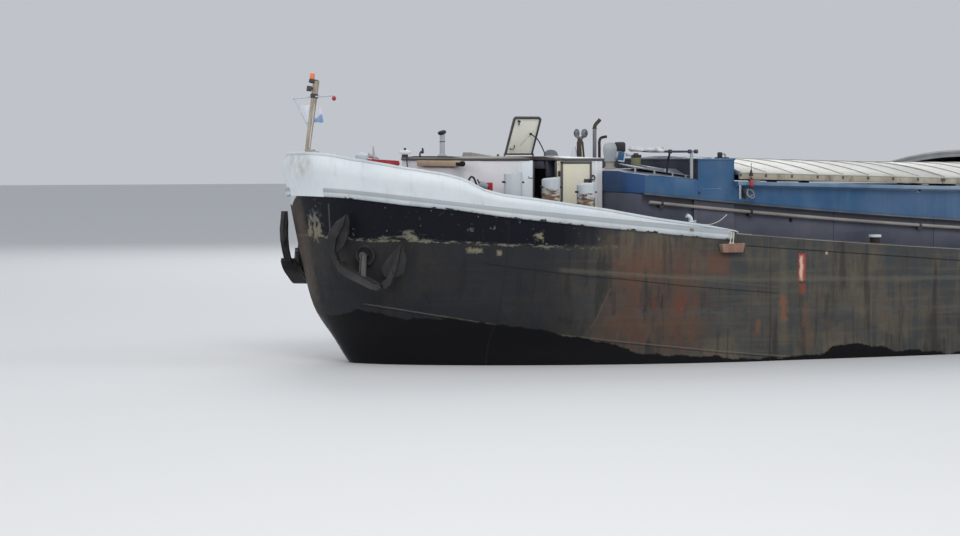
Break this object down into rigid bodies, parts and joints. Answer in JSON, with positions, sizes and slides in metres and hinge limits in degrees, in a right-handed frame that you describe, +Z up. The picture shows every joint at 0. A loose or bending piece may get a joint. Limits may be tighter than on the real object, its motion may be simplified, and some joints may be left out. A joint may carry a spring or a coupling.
{
  "type": "1:2 scale model of a motor river barge",
  "caption": "Long flat-bottomed cargo barge with a bluff bow, sliding arched hatch covers over one hold, a low fore house and an aft wheelhouse.",
  "frame": {"origin": "centre of the ship's length and breadth, on the flat bottom", "axes": "+X to the bow, +Y to port, +Z up"},
  "size_m": [27.518, 3.43, 3.331],
  "materials": {
    "hull_black": "worn black hull paint with rust streaks",
    "white_paint": "weathered white paint",
    "blue_paint": "blue paint over a grey foot",
    "cream_paint": "cream paint",
    "red_paint": "dark red paint",
    "dark_iron": "dark rusty iron",
    "grey_steel": "grey paint, sooty and rusty at the ends",
    "mast_tan": "grey tan paint",
    "flag_cloth": "white and blue flag cloth",
    "pale_grey": "pale grey paint",
    "deck_grey": "grey deck paint",
    "varnished_wood": "varnished wood",
    "engine_green": "green engine enamel",
    "bronze": "dull bronze",
    "fender_wood": "weathered wood",
    "cover_cream": "pale weathered sheet"
  },
  "bodies": {
    "ship": {"hull_bow": "hull_black", "hull_stern": "hull_black", "hull_bottom": "hull_black", "hull_side_port": "hull_black", "hull_side_starboard": "hull_black", "bulwark_bow": "white_paint", "bulwark_stern": "white_paint", "coaming_port": "blue_paint", "coaming_starboard": "blue_paint", "coaming_front_box": "blue_paint", "coaming_aft_box": "blue_paint", "fore_trunk": "blue_paint", "fore_house_walls": "white_paint", "fore_house_roof": "white_paint", "windlass_frame": "red_paint", "anchor_port": "dark_iron", "anchor_starboard": "dark_iron", "bow_mast_foot": "grey_steel", "bollards_fore_port": "white_paint", "bollards_fore_starboard": "white_paint", "bollards_aft_port": "white_paint", "bollards_aft_starboard": "white_paint", "chimney": "grey_steel", "exhausts": "grey_steel", "cowl_vent": "pale_grey", "signal_post": "grey_steel", "aft_house_walls": "white_paint", "aft_house_roof": "deck_grey", "wheelhouse_walls": "white_paint", "wheelhouse_roof": "white_paint", "helm_console": "varnished_wood", "radar_mast_foot": "white_paint", "engine": "engine_green", "fender_port": "fender_wood", "fender_starboard": "fender_wood", "hatch_cover_1": "cover_cream", "hatch_cover_2": "cover_cream", "hatch_cover_4": "cover_cream", "hatch_cover_6": "cover_cream", "hatch_cover_8": "cover_cream"},
    "windlass_drum": {"windlass_drum": "dark_iron"},
    "bow_mast": {"bow_mast": "mast_tan", "flag": "flag_cloth"},
    "fore_house_door": {"fore_house_door": "cream_paint"},
    "fore_house_lid": {"fore_house_lid": "cream_paint"},
    "hatch_cover_3": {"hatch_cover_3": "cover_cream"},
    "hatch_cover_5": {"hatch_cover_5": "cover_cream"},
    "hatch_cover_7": {"hatch_cover_7": "cover_cream"},
    "aft_house_door": {"aft_house_door": "varnished_wood"},
    "wheelhouse_door_port": {"wheelhouse_door_port": "varnished_wood"},
    "wheelhouse_door_starboard": {"wheelhouse_door_starboard": "varnished_wood"},
    "radar_mast": {"radar_mast": "white_paint"},
    "radar_scanner": {"radar_scanner": "white_paint"},
    "propeller": {"propeller": "bronze"},
    "rudder": {"rudder": "hull_black"}
  },
  "joints": [
    {"name": "windlass_spin", "type": "hinge", "parent": "ship", "child": "windlass_drum", "pos_m": [12.94, 0, 2.105], "axis": [0, 1, 0], "continuous": true},
    {"name": "bow_mast_fold", "type": "hinge", "parent": "ship", "child": "bow_mast", "pos_m": [13.615, 0, 2.31], "axis": [0, -1, 0], "range_deg": [0, 80]},
    {"name": "fore_house_door_swing", "type": "hinge", "parent": "ship", "child": "fore_house_door", "pos_m": [11.435, 0.88875, 1.98], "axis": [0, 0, -1], "range_deg": [0, 178]},
    {"name": "fore_house_lid_swing", "type": "hinge", "parent": "ship", "child": "fore_house_lid", "pos_m": [11.62, 0.425, 2.31], "axis": [1, 0, 0], "range_deg": [-62, 14]},
    {"name": "hatch_cover_3_slide", "type": "slide", "parent": "ship", "child": "hatch_cover_3", "axis": [1, 0, 0.004], "range_m": [-1.05, 1.25]},
    {"name": "hatch_cover_5_slide", "type": "slide", "parent": "ship", "child": "hatch_cover_5", "axis": [1, 0, 0.004], "range_m": [0, 2.3]},
    {"name": "hatch_cover_7_slide", "type": "slide", "parent": "ship", "child": "hatch_cover_7", "axis": [1, 0, 0.004], "range_m": [0, 2.3]},
    {"name": "aft_house_door_swing", "type": "hinge", "parent": "ship", "child": "aft_house_door", "pos_m": [-12.6, 0.18, 1.6], "axis": [0, 0, -1], "range_deg": [0, 100]},
    {"name": "wheelhouse_door_port_swing", "type": "hinge", "parent": "ship", "child": "wheelhouse_door_port", "pos_m": [-10.95, 0.875, 2.35], "axis": [0, 0, -1], "range_deg": [0, 95]},
    {"name": "wheelhouse_door_starboard_swing", "type": "hinge", "parent": "ship", "child": "wheelhouse_door_starboard", "pos_m": [-10.95, -0.875, 2.35], "axis": [0, 0, 1], "range_deg": [0, 95]},
    {"name": "radar_mast_fold", "type": "hinge", "parent": "ship", "child": "radar_mast", "pos_m": [-11.95, 0, 2.04], "axis": [0, -1, 0], "range_deg": [0, 75]},
    {"name": "radar_spin", "type": "hinge", "parent": "radar_mast", "child": "radar_scanner", "pos_m": [-11.95, 0, 3.275], "axis": [0, 0, 1], "continuous": true},
    {"name": "propeller_spin", "type": "hinge", "parent": "ship", "child": "propeller", "pos_m": [-12.425, 0, 0.345], "axis": [1, 0, 0], "continuous": true},
    {"name": "rudder_turn", "type": "hinge", "parent": "ship", "child": "rudder", "pos_m": [-12.725, 0, 0.4], "axis": [0, 0, 1], "range_deg": [-45, 45]}
  ]
}
